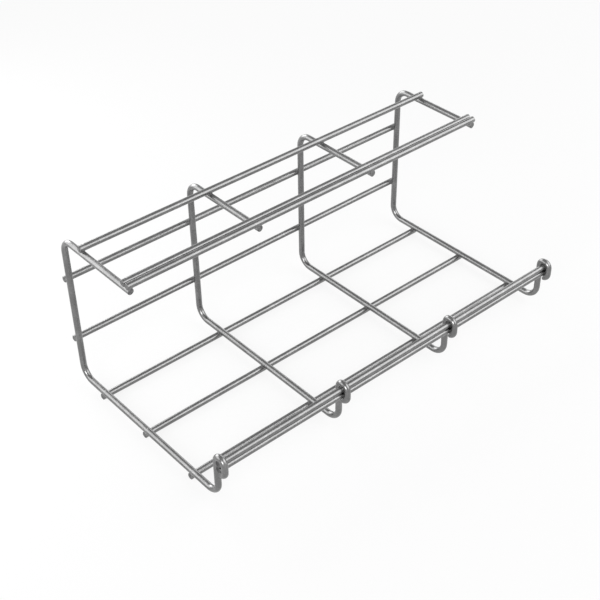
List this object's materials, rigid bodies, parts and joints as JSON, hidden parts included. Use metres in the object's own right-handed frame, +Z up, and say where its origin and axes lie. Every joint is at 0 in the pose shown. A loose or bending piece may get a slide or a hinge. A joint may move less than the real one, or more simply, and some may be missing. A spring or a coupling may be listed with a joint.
{
  "type": "wire mesh cable basket",
  "caption": "Short welded wire mesh cable basket with a floor, a back wall, a shelf over the rear and a low front edge with hooks closed over doubled edge wires.",
  "frame": {"origin": "bottom centre of the bounding box: on the floor it stands on, under the middle of the basket", "axes": "+X along the long wires, -Y towards the open front with the hooked edge, +Y towards the back wall, +Z up"},
  "size_m": [0.3045, 0.1678, 0.1272],
  "materials": {
    "bent_wire": "bright zinc coating, smooth",
    "long_wire": "bright zinc coating, smooth"
  },
  "bodies": {
    "root": {"cross_wire_1": "bent_wire", "cross_wire_2": "bent_wire", "cross_wire_3": "bent_wire", "cross_wire_4": "bent_wire", "floor_wire_back": "long_wire", "floor_wire_middle": "long_wire", "floor_wire_front": "long_wire", "wall_wire_lower": "long_wire", "wall_wire_upper": "long_wire", "shelf_wire_back": "long_wire", "shelf_wire_inner": "long_wire", "shelf_wire_outer": "long_wire", "edge_wire_upper": "long_wire", "edge_wire_lower": "long_wire"}
  },
  "joints": []
}
